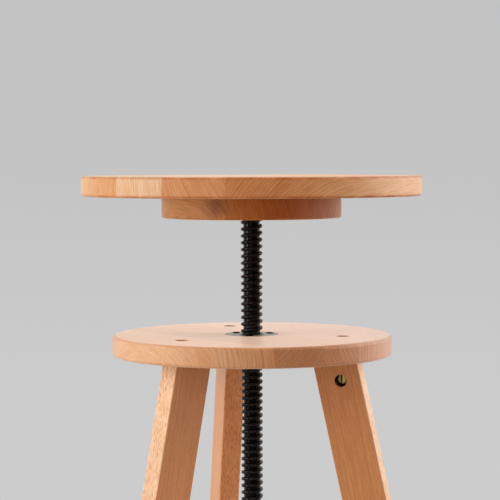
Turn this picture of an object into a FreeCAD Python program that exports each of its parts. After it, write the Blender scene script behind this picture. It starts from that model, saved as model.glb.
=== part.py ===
import FreeCAD, Part
import math
import os
import re
import Sketcher

# Adjustable swivel stool. A round wooden seat turns on a coarse lift screw, and the screw
# climbs in a flange nut that is let into a round base disc on three leaning board legs.
# Millimetres, +Z up. The origin is on the floor, under the axis of the lift screw.

# Driving dimensions, in the order in which the stool is put together.
SIZES = {
    # Seat, a glued-up beech disc
    "seat_diameter": 340.0,
    "seat_thickness": 20.0,
    "seat_top_round": 3.0,
    "seat_bottom_round": 2.5,
    # Backing disc, which hides the plate of the lift screw
    "backing_diameter": 180.0,
    "backing_thickness": 22.0,
    "backing_round": 2.0,
    "backing_screw_edge": 20.0,
    "backing_screw_diameter": 4.5,
    "backing_screw_head": 8.6,
    "backing_screw_length": 34.0,
    # Plate welded to the top of the lift screw
    "plate_diameter": 100.0,
    "plate_thickness": 4.0,
    "plate_screw_edge": 12.0,
    "plate_screw_diameter": 5.0,
    "plate_screw_head": 9.5,
    "plate_screw_head_height": 3.0,
    "plate_screw_head_bevel": 1.0,
    "plate_screw_length": 17.0,
    "weld_size": 3.0,
    "plate_recess_gap": 0.5,
    # Lift screw
    "thread_major": 22.0,
    "thread_minor": 16.8,
    "thread_pitch": 6.8,
    "thread_crest_width": 2.2,
    "thread_base_width": 3.7,
    "thread_start": 0.0,
    "screw_below_base_top": 175.0,
    "top_spigot_diameter": 16.0,
    "low_spigot_diameter": 14.0,
    "spigot_shoulder_bevel": 0.2,
    "screw_bore_gap": 1.0,
    # Stop at the lower end of the lift screw
    "buffer_diameter": 34.0,
    "buffer_thickness": 5.0,
    "buffer_round": 1.0,
    "stop_washer_diameter": 30.0,
    "stop_washer_thickness": 2.5,
    "stop_bolt_diameter": 8.0,
    "stop_bolt_head": 14.0,
    "stop_bolt_head_height": 5.0,
    "stop_bolt_dome_width": 9.4,
    "stop_bolt_dome_height": 3.3,
    "stop_bolt_length": 22.0,
    "stop_bolt_socket": 5.0,
    "stop_bolt_socket_depth": 2.5,
    # Flange nut
    "flange_diameter": 53.0,
    "flange_thickness": 3.0,
    "nut_boss_diameter": 31.0,
    "nut_length": 24.0,
    "nut_mouth": 1.2,
    "flange_screw_edge": 6.7,
    "flange_screw_diameter": 4.0,
    "flange_screw_head": 7.6,
    "flange_screw_length": 16.0,
    "flange_screw_azimuth": 9.0,
    # Base disc
    "base_top_height": 400.0,
    "base_diameter": 280.0,
    "base_thickness": 20.0,
    "base_top_round": 3.5,
    "base_bottom_round": 2.5,
    "seat_gap": 117.0,
    # Legs
    "leg_width": 44.6,
    "leg_thickness": 21.3,
    "leg_lean": 12.4,
    "leg_edge_round": 1.5,
    "first_leg_azimuth": -30.0,
    # Leg bolts, barrel nuts and dowels
    "leg_bolt_inset": 46.0,
    "leg_bolt_offset": 2.2,
    "leg_bolt_diameter": 6.0,
    "leg_bolt_head": 10.0,
    "leg_bolt_head_height": 6.0,
    "leg_bolt_length": 45.0,
    "leg_bolt_socket": 5.0,
    "leg_bolt_socket_depth": 3.0,
    "leg_bolt_head_bevel": 0.6,
    "leg_bolt_tip_bevel": 1.0,
    "leg_washer_diameter": 12.6,
    "leg_washer_thickness": 1.6,
    "counterbore_diameter": 13.6,
    "counterbore_depth": 10.0,
    "barrel_nut_diameter": 10.0,
    "barrel_nut_length": 12.0,
    "barrel_nut_bevel": 0.6,
    "barrel_nut_drop": 22.5,
    "barrel_slot_width": 1.6,
    "barrel_slot_depth": 1.4,
    "barrel_hole_diameter": 12.4,
    "dowel_diameter": 8.0,
    "dowel_depth_in_base": 12.0,
    "dowel_depth_in_leg": 17.0,
    "dowel_offset": 18.0,
    "dowel_bevel": 1.0,
    # Foot glides
    "glide_diameter": 18.0,
    "glide_height": 4.0,
    "glide_round": 1.2,
    "nail_diameter": 2.4,
    "nail_head": 5.0,
    "nail_head_height": 1.2,
    "nail_length": 20.0,
    # Clearances
    "thread_clearance": 0.3,
    "loose_clearance": 0.3,
    "seat_clearance": 0.3,
    "snug_clearance": 0.1,
    "bolt_clearance": 0.4,
    "hole_end_gap": 1.0,
}

LEGS = ("right", "back", "left")
PLATE_SCREWS = 4
BACKING_SCREWS = 4
FLANGE_SCREWS = 3

# Levels and radii that several pieces share, as sums of the driving dimensions.
BACKING_UNDERSIDE = "(base_top_height + seat_gap)"
SEAT_UNDERSIDE = "(base_top_height + seat_gap + backing_thickness)"
PLATE_UNDERSIDE = f"({SEAT_UNDERSIDE} - plate_thickness)"
SCREW_END = "(base_top_height - screw_below_base_top)"
SCREW_LENGTH = f"({PLATE_UNDERSIDE} - {SCREW_END})"
LOW_SPIGOT_LENGTH = "(buffer_thickness + 2 * loose_clearance)"
STOP_SEAT = f"({SCREW_END} - {LOW_SPIGOT_LENGTH} - stop_washer_thickness)"
BASE_UNDERSIDE = "(base_top_height - base_thickness)"
BOLT_RADIUS = "(base_diameter / 2 - leg_bolt_inset)"
BOLT_SEAT = "(base_top_height - counterbore_depth + leg_washer_thickness)"
BARREL_NUT_HEIGHT = f"({BASE_UNDERSIDE} - barrel_nut_drop)"
DOWEL_RADIUS = f"({BOLT_RADIUS} - dowel_offset)"
LEG_RADIUS_AT_NUT = f"({BOLT_RADIUS} - leg_bolt_offset)"
LEG_TOP_RADIUS = f"({LEG_RADIUS_AT_NUT} - barrel_nut_drop * tan(leg_lean))"
FOOT_RADIUS = f"({LEG_RADIUS_AT_NUT} + ({BARREL_NUT_HEIGHT} - glide_height) * tan(leg_lean))"
NAIL_SEAT = "(nail_head_height + hole_end_gap)"
PLATE_SCREW_RADIUS = "(plate_diameter / 2 - plate_screw_edge)"
BACKING_SCREW_RADIUS = "(backing_diameter / 2 - backing_screw_edge)"
FLANGE_SCREW_RADIUS = "(flange_diameter / 2 - flange_screw_edge)"

doc = FreeCAD.newDocument("swivel_stool")
sheet = doc.addObject("Spreadsheet::Sheet", "Sizes")
for row, (alias, number) in enumerate(SIZES.items(), start=1):
    sheet.set(f"A{row}", alias)
    sheet.set(f"B{row}", str(number))
    sheet.setAlias(f"B{row}", alias)
doc.recompute()


# ---------------------------------------------------------------- working with the sheet

def bound(text):
    """A sum written with the sizes' names, as an expression that reads the sheet."""
    return re.sub(r"[a-z]\w*", lambda word: f"Sizes.{word[0]}" if word[0] in SIZES else word[0], text)


def value(text):
    """What such a sum comes to now, as a plain number."""
    result = sheet.evalExpression(bound(text))
    return float(getattr(result, "Value", result))


def bind(thing, prop, text):
    """Tie a property to the sheet."""
    thing.setExpression(prop, bound(text))


# ---------------------------------------------------------------- sketches and features

def new_body(name):
    """An empty body whose label is the sub-part's name."""
    body = doc.addObject("PartDesign::Body", name)
    body.Label = name
    return body


def origin_part(body, role):
    """A plane or axis of a body's own origin."""
    return next(part for part in body.Origin.OriginFeatures if part.Role == role)


def new_sketch(body, name, role="XY_Plane", offset="0"):
    """A sketch on one of the body's origin planes, moved along its normal by an offset."""
    sketch = body.newObject("Sketcher::SketchObject", name)
    sketch.AttachmentSupport = [(origin_part(body, role), "")]
    sketch.MapMode = "FlatFace"
    if offset != "0":
        bind(sketch, "AttachmentOffset.Base.z", offset)
    return sketch


def hold(sketch, kind, *arguments, text):
    """A dimension in a sketch, tied to the sheet."""
    index = sketch.addConstraint(Sketcher.Constraint(kind, *arguments, value(text)))
    sketch.setExpression(f"Constraints[{index}]", bound(text))


def hold_point(sketch, geometry, point, across, up):
    """Hold a point of a sketch at a place given from the sketch's origin."""
    for kind, axis, text in (("DistanceX", -2, across), ("DistanceY", -1, up)):
        if text == "0":
            sketch.addConstraint(Sketcher.Constraint("PointOnObject", geometry, point, axis))
        else:
            hold(sketch, kind, -1, 1, geometry, point, text=text)


def add_circle(sketch, diameter, across="0", up="0"):
    """A circle of a given diameter round a given centre."""
    centre = FreeCAD.Vector(value(across), value(up), 0)
    circle = sketch.addGeometry(Part.Circle(centre, FreeCAD.Vector(0, 0, 1), value(diameter) / 2), False)
    hold(sketch, "Diameter", circle, text=diameter)
    hold_point(sketch, circle, 3, across, up)


def add_outline(sketch, corners):
    """A closed outline of straight lines through corners given as (across, up)."""
    points = [FreeCAD.Vector(value(across), value(up), 0) for across, up in corners]
    lines = [
        sketch.addGeometry(Part.LineSegment(start, end), False)
        for start, end in zip(points, points[1:] + points[:1])
    ]
    for line, following in zip(lines, lines[1:] + lines[:1]):
        sketch.addConstraint(Sketcher.Constraint("Coincident", line, 2, following, 1))
    for line, (across, up) in zip(lines, corners):
        hold_point(sketch, line, 1, across, up)


def add_axis(sketch, across):
    """A vertical construction line to turn a profile about, as long as the sketch needs."""
    start = FreeCAD.Vector(value(across), 0, 0)
    line = sketch.addGeometry(Part.LineSegment(start, start + FreeCAD.Vector(0, 10, 0)), True)
    sketch.addConstraint(Sketcher.Constraint("Vertical", line))
    sketch.addConstraint(Sketcher.Constraint("Distance", line, 10.0))
    hold_point(sketch, line, 1, across, "0")


def hexagon(width):
    """The corners of a hexagon of a given width across its flats."""
    corners = []
    for corner in range(6):
        turn = 60 * corner
        up = "0" if corner % 3 == 0 else f"{width} / sqrt(3) * sin({turn})"
        corners.append((f"{width} / sqrt(3) * cos({turn})", up))
    return corners


def pad(body, sketch, length, reversed_=False):
    """Raise a sketch into a solid."""
    feature = body.newObject("PartDesign::Pad", f"{sketch.Name}_pad")
    feature.Profile = sketch
    feature.Reversed = reversed_
    bind(feature, "Length", length)
    doc.recompute()
    return feature


def pocket(body, sketch, depth=None, reversed_=False):
    """Cut a sketch into the body, to a depth or right through, and check that it did cut."""
    before = body.Shape.Volume
    feature = body.newObject("PartDesign::Pocket", f"{sketch.Name}_pocket")
    feature.Profile = sketch
    feature.Reversed = reversed_
    if depth is None:
        feature.Type = "ThroughAll"
    else:
        bind(feature, "Length", depth)
    doc.recompute()
    if body.Shape.Volume >= before:
        raise RuntimeError(f"{feature.Name} cuts nothing")
    return feature


def revolve(body, sketch, axis="V_Axis"):
    """Turn a profile round the sketch's vertical axis, or round its own construction line."""
    feature = body.newObject("PartDesign::Revolution", f"{sketch.Name}_turned")
    feature.Profile = sketch
    feature.ReferenceAxis = (sketch, [axis])
    feature.Angle = 360
    doc.recompute()
    return feature


def repeat_round(body, features, count):
    """Repeat features evenly round the body's own Z axis."""
    feature = body.newObject("PartDesign::PolarPattern", f"{features[0].Name}_round")
    feature.Originals = features
    feature.Axis = (origin_part(body, "Z_Axis"), [""])
    feature.Angle = 360
    feature.Occurrences = count
    body.Tip = feature
    doc.recompute()
    return feature


def circle_edges(body, diameter, height):
    """The names of the body's level round edges of a given diameter at a given height."""
    names = []
    for number, edge in enumerate(body.Tip.Shape.Edges, start=1):
        curve = edge.Curve
        if not isinstance(curve, Part.Circle) or abs(abs(curve.Axis.z) - 1) > 1e-6:
            continue
        if abs(2 * curve.Radius - value(diameter)) < 1e-4 and abs(curve.Center.z - value(height)) < 1e-4:
            names.append(f"Edge{number}")
    if not names:
        raise RuntimeError(f"{body.Label} has no round edge of {diameter} at {height}")
    return names


def ease(body, kind, edges, size):
    """Round or bevel edges of the body."""
    base = body.Tip
    feature = body.newObject(f"PartDesign::{kind}", f"{body.Name}_{kind.lower()}")
    feature.Base = (base, edges)
    bind(feature, "Radius" if kind == "Fillet" else "Size", size)
    body.Tip = feature
    doc.recompute()
    return feature


def place(thing, across="0", back="0", up="0", turn="0"):
    """Put a finished sub-part in the stool: its place, and its turn about the vertical."""
    thing.Placement = FreeCAD.Placement(
        FreeCAD.Vector(value(across), value(back), value(up)),
        FreeCAD.Rotation(FreeCAD.Vector(0, 0, 1), value(turn)),
    )
    for prop, text in (("Base.x", across), ("Base.y", back), ("Base.z", up), ("Rotation.Angle", turn)):
        if text != "0":
            bind(thing, f"Placement.{prop}", text)


def round_the_axis(radius, azimuth):
    """The place of a point at a radius and an azimuth, across and back."""
    return f"{radius} * cos({azimuth})", f"{radius} * sin({azimuth})"


def turned_body(name, profile):
    """A body turned from a profile of (radius, height) corners."""
    body = new_body(name)
    sketch = new_sketch(body, f"{name}_profile", "XZ_Plane")
    add_outline(sketch, profile)
    revolve(body, sketch)
    return body


def screw_ring(name, circle_radius, profile, count):
    """Like screws, evenly round a circle, each turned from a profile of (distance from its axis, height)."""
    body = new_body(name)
    sketch = new_sketch(body, f"{name}_profile", "XZ_Plane")
    add_outline(sketch, [(f"{circle_radius} + {out}", up) for out, up in profile])
    add_axis(sketch, circle_radius)
    repeat_round(body, [revolve(body, sketch, "Axis0")], count)
    return body


# ---------------------------------------------------------------- the thread

def helix_arc(radius, height, pitch, start, end):
    """A piece of a right-hand helix as one cubic curve; its height is taken at the angle 0."""
    reach = 4 / 3 * math.tan((end - start) / 4)
    rise = pitch * (end - start) / (2 * math.pi) / 3

    def point(angle, along, climb):
        return FreeCAD.Vector(
            radius * (math.cos(angle) - along * math.sin(angle)),
            radius * (math.sin(angle) + along * math.cos(angle)),
            height + pitch * angle / (2 * math.pi) + climb,
        )

    curve = Part.BezierCurve()
    poles = (start, 0, 0), (start, reach, rise), (end, -reach, -rise), (end, 0, 0)
    curve.setPoles([point(*pole) for pole in poles])
    return curve.toShape()


def threaded_rod(crest_radius, root_radius, crest_width, base_width, pitch, bottom, top):
    """A solid rod with one right-hand thread, whose crest crosses the +X side at whole pitches.

    Its skin is four helical ribbons, the crest, two flanks and the root, in quarter turns that
    share their edges. It runs past bottom and top by at least one pitch, and ends there in
    spiral ramps, which are cut off with the rest when the rod is trimmed to its blank.
    """
    slope_width = (base_width - crest_width) / 2
    ribbons = [
        (crest_radius, -crest_width / 2),
        (crest_radius, crest_width / 2),
        (root_radius, crest_width / 2 + slope_width),
        (root_radius, pitch - crest_width / 2 - slope_width),
    ]
    quarters = 4
    step = 2 * math.pi / quarters
    first = quarters * (math.floor(bottom / pitch) - 2)
    last = quarters * (math.ceil(top / pitch) + 1)
    known = {}

    def edge(ribbon, quarter):
        if ribbon == len(ribbons):
            return edge(0, quarter + quarters)
        if (ribbon, quarter) not in known:
            radius, height = ribbons[ribbon]
            known[ribbon, quarter] = helix_arc(radius, height, pitch, quarter * step, (quarter + 1) * step)
        return known[ribbon, quarter]

    def ramp(quarter):
        rim = edge(0, quarter)
        ends = [FreeCAD.Vector(0, 0, corner.Point.z) for corner in rim.Vertexes]
        return Part.makeRuledSurface(Part.makeLine(*ends), rim)

    def riser(quarter):
        corners = [edge(ribbon, quarter).Vertexes[0].Point for ribbon in range(len(ribbons) + 1)]
        on_axis = [FreeCAD.Vector(0, 0, corner.z) for corner in (corners[0], corners[-1])]
        return Part.Face(Part.makePolygon([on_axis[0], *corners, on_axis[1], on_axis[0]]))

    faces = [
        Part.makeRuledSurface(edge(ribbon, quarter), edge(ribbon + 1, quarter))
        for quarter in range(first, last)
        for ribbon in range(len(ribbons))
    ]
    for end in (first, last):
        faces += [ramp(end + quarter) for quarter in range(quarters)]
        faces.append(riser(end))
    shell = Part.makeShell(faces)
    shell.sewShape(1e-5)
    rod = Part.Solid(shell)
    if rod.Volume < 0:
        rod.reverse()
    return rod


def thread_feature(name, clearance, bottom, top):
    """The thread form as an object of the document, larger by a clearance where it cuts a nut."""
    pitch = value("thread_pitch")
    feature = doc.addObject("Part::Feature", name)
    feature.Label = name
    feature.Shape = threaded_rod(
        value("thread_major") / 2 + clearance,
        value("thread_minor") / 2 + clearance,
        value("thread_crest_width") + 2 * clearance,
        value("thread_base_width") + 2 * clearance,
        pitch,
        value(bottom),
        value(top),
    )
    return feature


def combine(kind, name, base, tool):
    """A boolean of two objects, labelled as the finished sub-part."""
    result = doc.addObject(f"Part::{kind}", name)
    result.Label = name
    result.Base = base
    result.Tool = tool
    doc.recompute()
    return result


# ---------------------------------------------------------------- seat group

def make_seat():
    """The seat: a flat disc with eased rims and blind pilot holes in its underside."""
    body = new_body("seat_top")
    disc = new_sketch(body, "seat_disc")
    add_circle(disc, "seat_diameter")
    pad(body, disc, "seat_thickness")
    holes = (
        ("seat_plate_pilot", PLATE_SCREW_RADIUS, "plate_screw_diameter",
         "plate_screw_length - plate_thickness", PLATE_SCREWS),
        ("seat_backing_pilot", BACKING_SCREW_RADIUS, "backing_screw_diameter",
         "backing_screw_length - backing_thickness", BACKING_SCREWS),
    )
    for name, radius, diameter, depth, count in holes:
        pilot = new_sketch(body, name)
        add_circle(pilot, f"{diameter} + snug_clearance", radius)
        repeat_round(body, [pocket(body, pilot, f"{depth} + hole_end_gap", reversed_=True)], count)
    ease(body, "Fillet", circle_edges(body, "seat_diameter", "seat_thickness"), "seat_top_round")
    ease(body, "Fillet", circle_edges(body, "seat_diameter", "0"), "seat_bottom_round")
    place(body, up=SEAT_UNDERSIDE)
    return body


def make_backing_disc():
    """The backing disc: a recess for the plate above, a bore for the screw, four countersunk holes below."""
    body = new_body("backing_disc")
    disc = new_sketch(body, "backing_outline")
    add_circle(disc, "backing_diameter")
    pad(body, disc, "backing_thickness")
    recess = new_sketch(body, "plate_recess", offset="backing_thickness")
    add_circle(recess, "plate_diameter + 2 * plate_recess_gap")
    pocket(body, recess, "plate_thickness + max(plate_screw_head_height; weld_size) + plate_recess_gap")
    bore = new_sketch(body, "screw_bore")
    add_circle(bore, "thread_major + 2 * screw_bore_gap")
    pocket(body, bore, reversed_=True)
    hole = new_sketch(body, "backing_hole")
    add_circle(hole, "backing_screw_diameter + bolt_clearance", BACKING_SCREW_RADIUS)
    repeat_round(body, [pocket(body, hole, reversed_=True)], BACKING_SCREWS)
    ease(body, "Chamfer", circle_edges(body, "backing_screw_diameter + bolt_clearance", "0"),
         "(backing_screw_head - backing_screw_diameter) / 2")
    ease(body, "Fillet", circle_edges(body, "backing_diameter", "0"), "backing_round")
    place(body, up=BACKING_UNDERSIDE)
    return body


def make_backing_screws():
    """Countersunk wood screws up through the backing disc into the seat, heads flush below."""
    head_height = "(backing_screw_head - backing_screw_diameter) / 2"
    body = screw_ring(
        "backing_disc_screws",
        BACKING_SCREW_RADIUS,
        [
            ("0", "0"),
            ("backing_screw_head / 2", "0"),
            ("backing_screw_diameter / 2", head_height),
            ("backing_screw_diameter / 2", "backing_screw_length - backing_screw_diameter / 2"),
            ("0", "backing_screw_length"),
        ],
        BACKING_SCREWS,
    )
    place(body, up=BACKING_UNDERSIDE)
    return body


def make_screw_plate():
    """The round plate welded to the top of the lift screw, with its weld collar below."""
    body = turned_body(
        "screw_plate",
        [
            ("(top_spigot_diameter + snug_clearance) / 2", "0"),
            ("(thread_major + snug_clearance) / 2", "0"),
            ("(thread_major + snug_clearance) / 2", "-weld_size"),
            ("(thread_major + snug_clearance) / 2 + weld_size", "0"),
            ("plate_diameter / 2", "0"),
            ("plate_diameter / 2", "plate_thickness"),
            ("(top_spigot_diameter + snug_clearance) / 2", "plate_thickness"),
        ],
    )
    hole = new_sketch(body, "plate_hole")
    add_circle(hole, "plate_screw_diameter + bolt_clearance", PLATE_SCREW_RADIUS)
    repeat_round(body, [pocket(body, hole, reversed_=True)], PLATE_SCREWS)
    place(body, up=PLATE_UNDERSIDE)
    return body


def make_plate_screws():
    """Pan-head screws up through the plate into the seat."""
    body = screw_ring(
        "screw_plate_screws",
        PLATE_SCREW_RADIUS,
        [
            ("0", "-plate_screw_head_height"),
            ("plate_screw_head / 2 - plate_screw_head_bevel", "-plate_screw_head_height"),
            ("plate_screw_head / 2", "plate_screw_head_bevel - plate_screw_head_height"),
            ("plate_screw_head / 2", "0"),
            ("plate_screw_diameter / 2", "0"),
            ("plate_screw_diameter / 2", "plate_screw_length - plate_screw_diameter / 2"),
            ("0", "plate_screw_length"),
        ],
        PLATE_SCREWS,
    )
    place(body, up=PLATE_UNDERSIDE)
    return body


def make_lift_screw():
    """The lift screw: a threaded rod trimmed to a blank with a spigot at each end and a tapped lower end."""
    bottom = f"-({SCREW_LENGTH} + {LOW_SPIGOT_LENGTH})"
    bore_radius = "(stop_bolt_diameter + snug_clearance) / 2"
    bore_end = f"{bottom} + stop_bolt_length - stop_washer_thickness + hole_end_gap"
    end_radius = "thread_minor / 2 - spigot_shoulder_bevel"
    blank = turned_body(
        "screw_blank",
        [
            ("0", "plate_thickness"),
            ("top_spigot_diameter / 2", "plate_thickness"),
            ("top_spigot_diameter / 2", "0"),
            ("thread_major", "0"),
            ("thread_major", f"thread_major - ({end_radius}) - {SCREW_LENGTH}"),
            (end_radius, f"-{SCREW_LENGTH}"),
            ("low_spigot_diameter / 2", f"-{SCREW_LENGTH}"),
            ("low_spigot_diameter / 2", bottom),
            (bore_radius, bottom),
            (bore_radius, bore_end),
            ("0", bore_end),
        ],
    )
    thread = thread_feature("screw_thread", 0.0, bottom, "plate_thickness")
    screw = combine("Common", "lift_screw", blank, thread)
    climb = f"({PLATE_UNDERSIDE} - base_top_height)"
    place(screw, up=PLATE_UNDERSIDE, turn=f"thread_start + mod(360 * {climb} / thread_pitch; 360)")
    return screw


def make_stop():
    """The stop below the nut: a loose buffer ring on the lower spigot, a washer and their bolt."""
    ring = turned_body(
        "stop_buffer",
        [
            ("low_spigot_diameter / 2 + loose_clearance", "0"),
            ("buffer_diameter / 2", "0"),
            ("buffer_diameter / 2", "buffer_thickness"),
            ("low_spigot_diameter / 2 + loose_clearance", "buffer_thickness"),
        ],
    )
    low_rim = circle_edges(ring, "buffer_diameter", "0")
    high_rim = circle_edges(ring, "buffer_diameter", "buffer_thickness")
    ease(ring, "Fillet", low_rim + high_rim, "buffer_round")
    place(ring, up=f"{SCREW_END} - loose_clearance - buffer_thickness")

    washer = turned_body(
        "stop_washer",
        [
            ("(stop_bolt_diameter + bolt_clearance) / 2", "0"),
            ("stop_washer_diameter / 2", "0"),
            ("stop_washer_diameter / 2", "stop_washer_thickness"),
            ("(stop_bolt_diameter + bolt_clearance) / 2", "stop_washer_thickness"),
        ],
    )
    place(washer, up=STOP_SEAT)

    bolt = turned_body(
        "stop_bolt",
        [
            ("0", "-stop_bolt_head_height"),
            ("stop_bolt_dome_width / 2", "-stop_bolt_head_height"),
            ("stop_bolt_head / 2", "stop_bolt_dome_height - stop_bolt_head_height"),
            ("stop_bolt_head / 2", "0"),
            ("stop_bolt_diameter / 2", "0"),
            ("stop_bolt_diameter / 2", "stop_bolt_length"),
            ("0", "stop_bolt_length"),
        ],
    )
    socket = new_sketch(bolt, "stop_socket", offset="-stop_bolt_head_height")
    add_outline(socket, hexagon("stop_bolt_socket"))
    pocket(bolt, socket, "stop_bolt_socket_depth", reversed_=True)
    place(bolt, up=STOP_SEAT)
    return [ring, washer, bolt]


# ---------------------------------------------------------------- base group

def make_base_disc():
    """The base disc: a seat for the flange nut in the middle, and a bolt and a dowel hole for each leg."""
    body = new_body("base_disc")
    disc = new_sketch(body, "base_outline")
    add_circle(disc, "base_diameter")
    pad(body, disc, "base_thickness")
    recess = new_sketch(body, "flange_recess", offset="base_thickness")
    add_circle(recess, "flange_diameter + 2 * seat_clearance")
    pocket(body, recess, "flange_thickness")
    bore = new_sketch(body, "nut_bore", offset="base_thickness")
    add_circle(bore, "nut_boss_diameter + 2 * seat_clearance")
    pocket(body, bore)
    azimuth = "(flange_screw_azimuth - first_leg_azimuth)"
    pilot = new_sketch(body, "flange_pilot", offset="base_thickness - flange_thickness")
    add_circle(
        pilot,
        "flange_screw_diameter + snug_clearance",
        f"{FLANGE_SCREW_RADIUS} * cos({azimuth})",
        f"{FLANGE_SCREW_RADIUS} * sin({azimuth})",
    )
    depth = "flange_screw_length - flange_thickness + hole_end_gap"
    repeat_round(body, [pocket(body, pilot, depth)], FLANGE_SCREWS)
    counterbore = new_sketch(body, "bolt_counterbore", offset="base_thickness")
    add_circle(counterbore, "counterbore_diameter", BOLT_RADIUS)
    repeat_round(body, [pocket(body, counterbore, "counterbore_depth")], len(LEGS))
    hole = new_sketch(body, "bolt_hole", offset="base_thickness")
    add_circle(hole, "leg_bolt_diameter + bolt_clearance", BOLT_RADIUS)
    repeat_round(body, [pocket(body, hole)], len(LEGS))
    dowel_hole = new_sketch(body, "base_dowel_hole")
    add_circle(dowel_hole, "dowel_diameter + snug_clearance", DOWEL_RADIUS)
    depth = "dowel_depth_in_base + hole_end_gap"
    repeat_round(body, [pocket(body, dowel_hole, depth, reversed_=True)], len(LEGS))
    ease(body, "Fillet", circle_edges(body, "base_diameter", "base_thickness"), "base_top_round")
    ease(body, "Fillet", circle_edges(body, "base_diameter", "0"), "base_bottom_round")
    place(body, up=BASE_UNDERSIDE, turn="first_leg_azimuth")
    return body


def make_flange_nut():
    """The flange nut: a flange with three countersunk holes, and a boss tapped with a clearance."""
    mouth_radius = "(thread_major / 2 + nut_mouth)"
    inner_radius = "(thread_minor / 2 - nut_mouth)"
    blank = turned_body(
        "nut_blank",
        [
            (mouth_radius, "0"),
            ("flange_diameter / 2", "0"),
            ("flange_diameter / 2", "-flange_thickness"),
            ("nut_boss_diameter / 2", "-flange_thickness"),
            ("nut_boss_diameter / 2", "nut_mouth - nut_length"),
            ("nut_boss_diameter / 2 - nut_mouth", "-nut_length"),
            (mouth_radius, "-nut_length"),
            (inner_radius, f"{mouth_radius} - {inner_radius} - nut_length"),
            (inner_radius, f"{inner_radius} - {mouth_radius}"),
        ],
    )
    hole = new_sketch(blank, "flange_hole")
    add_circle(hole, "flange_screw_diameter + bolt_clearance", FLANGE_SCREW_RADIUS)
    repeat_round(blank, [pocket(blank, hole)], FLANGE_SCREWS)
    ease(blank, "Chamfer", circle_edges(blank, "flange_screw_diameter + bolt_clearance", "0"),
         "(flange_screw_head - flange_screw_diameter) / 2")
    place(blank, turn="flange_screw_azimuth")
    thread = thread_feature("nut_thread", value("thread_clearance"), "-nut_length", "0")
    place(thread, turn="thread_start")
    nut = combine("Cut", "flange_nut", blank, thread)
    place(nut, up="base_top_height")
    return nut


def make_flange_screws():
    """Countersunk wood screws down through the flange into the base disc, heads flush."""
    body = screw_ring(
        "flange_nut_screws",
        FLANGE_SCREW_RADIUS,
        [
            ("0", "0"),
            ("flange_screw_head / 2", "0"),
            ("flange_screw_diameter / 2", "(flange_screw_diameter - flange_screw_head) / 2"),
            ("flange_screw_diameter / 2", "flange_screw_diameter / 2 - flange_screw_length"),
            ("0", "-flange_screw_length"),
        ],
        FLANGE_SCREWS,
    )
    place(body, up="base_top_height", turn="flange_screw_azimuth")
    return body


def make_leg(side, azimuth):
    """A leg: a board on edge that leans outwards, cut level at both ends, with its joint holes."""
    body = new_body(f"leg_{side}")
    half = "(leg_width / 2 / cos(leg_lean))"
    board = new_sketch(body, f"leg_board_{side}", "XZ_Plane", "-leg_thickness / 2")
    add_outline(
        board,
        [
            (f"{LEG_TOP_RADIUS} - {half}", BASE_UNDERSIDE),
            (f"{LEG_TOP_RADIUS} + {half}", BASE_UNDERSIDE),
            (f"{FOOT_RADIUS} + {half}", "glide_height"),
            (f"{FOOT_RADIUS} - {half}", "glide_height"),
        ],
    )
    pad(body, board, "leg_thickness")
    long_edges = [
        f"Edge{number}"
        for number, edge in enumerate(body.Tip.Shape.Edges, start=1)
        if abs(edge.tangentAt(edge.FirstParameter).z) > 0.5
    ]
    ease(body, "Fillet", long_edges, "leg_edge_round")
    bolt_depth = f"leg_bolt_length - ({BOLT_SEAT} - {BASE_UNDERSIDE}) + hole_end_gap"
    nail_depth = f"nail_length - (glide_height - {NAIL_SEAT}) + hole_end_gap"
    upright_holes = (
        ("leg_bolt_hole", BASE_UNDERSIDE, "leg_bolt_diameter + bolt_clearance", BOLT_RADIUS,
         bolt_depth, False),
        ("leg_dowel_hole", BASE_UNDERSIDE, "dowel_diameter + snug_clearance", DOWEL_RADIUS,
         "dowel_depth_in_leg + hole_end_gap", False),
        ("leg_nail_hole", "glide_height", "nail_diameter + snug_clearance", FOOT_RADIUS, nail_depth, True),
    )
    for name, level, diameter, radius, depth, upwards in upright_holes:
        hole = new_sketch(body, f"{name}_{side}", offset=level)
        add_circle(hole, diameter, radius)
        pocket(body, hole, depth, reversed_=upwards)
    cross_hole = new_sketch(body, f"leg_cross_hole_{side}", "XZ_Plane", "leg_thickness / 2")
    slack = "(barrel_hole_diameter - barrel_nut_diameter) / 2"
    cross_height = f"{BARREL_NUT_HEIGHT} - {slack} + seat_clearance"
    add_circle(cross_hole, "barrel_hole_diameter", BOLT_RADIUS, cross_height)
    pocket(body, cross_hole, "leg_thickness / 2 + barrel_nut_length / 2 + seat_clearance")
    place(body, turn=azimuth)
    return body


def make_barrel_nut(side, azimuth):
    """A barrel nut across the leg, with a cross bore for the bolt and a slot in its visible end."""
    body = new_body(f"barrel_nut_{side}")
    profile = new_sketch(body, f"barrel_profile_{side}")
    radius = "barrel_nut_diameter / 2"
    half = "barrel_nut_length / 2"
    add_outline(
        profile,
        [
            ("0", f"-{half}"),
            (f"{radius} - barrel_nut_bevel", f"-{half}"),
            (radius, f"barrel_nut_bevel - {half}"),
            (radius, f"{half} - barrel_nut_bevel"),
            (f"{radius} - barrel_nut_bevel", half),
            ("0", half),
        ],
    )
    revolve(body, profile)
    bore = new_sketch(body, f"barrel_bore_{side}", offset="barrel_nut_diameter")
    add_circle(bore, "leg_bolt_diameter + snug_clearance")
    pocket(body, bore)
    slot = new_sketch(body, f"barrel_slot_{side}", "XZ_Plane", half)
    add_outline(
        slot,
        [
            ("-barrel_slot_width / 2", "-barrel_nut_diameter"),
            ("barrel_slot_width / 2", "-barrel_nut_diameter"),
            ("barrel_slot_width / 2", "barrel_nut_diameter"),
            ("-barrel_slot_width / 2", "barrel_nut_diameter"),
        ],
    )
    pocket(body, slot, "barrel_slot_depth")
    place(body, *round_the_axis(BOLT_RADIUS, azimuth), BARREL_NUT_HEIGHT, azimuth)
    return body


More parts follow.
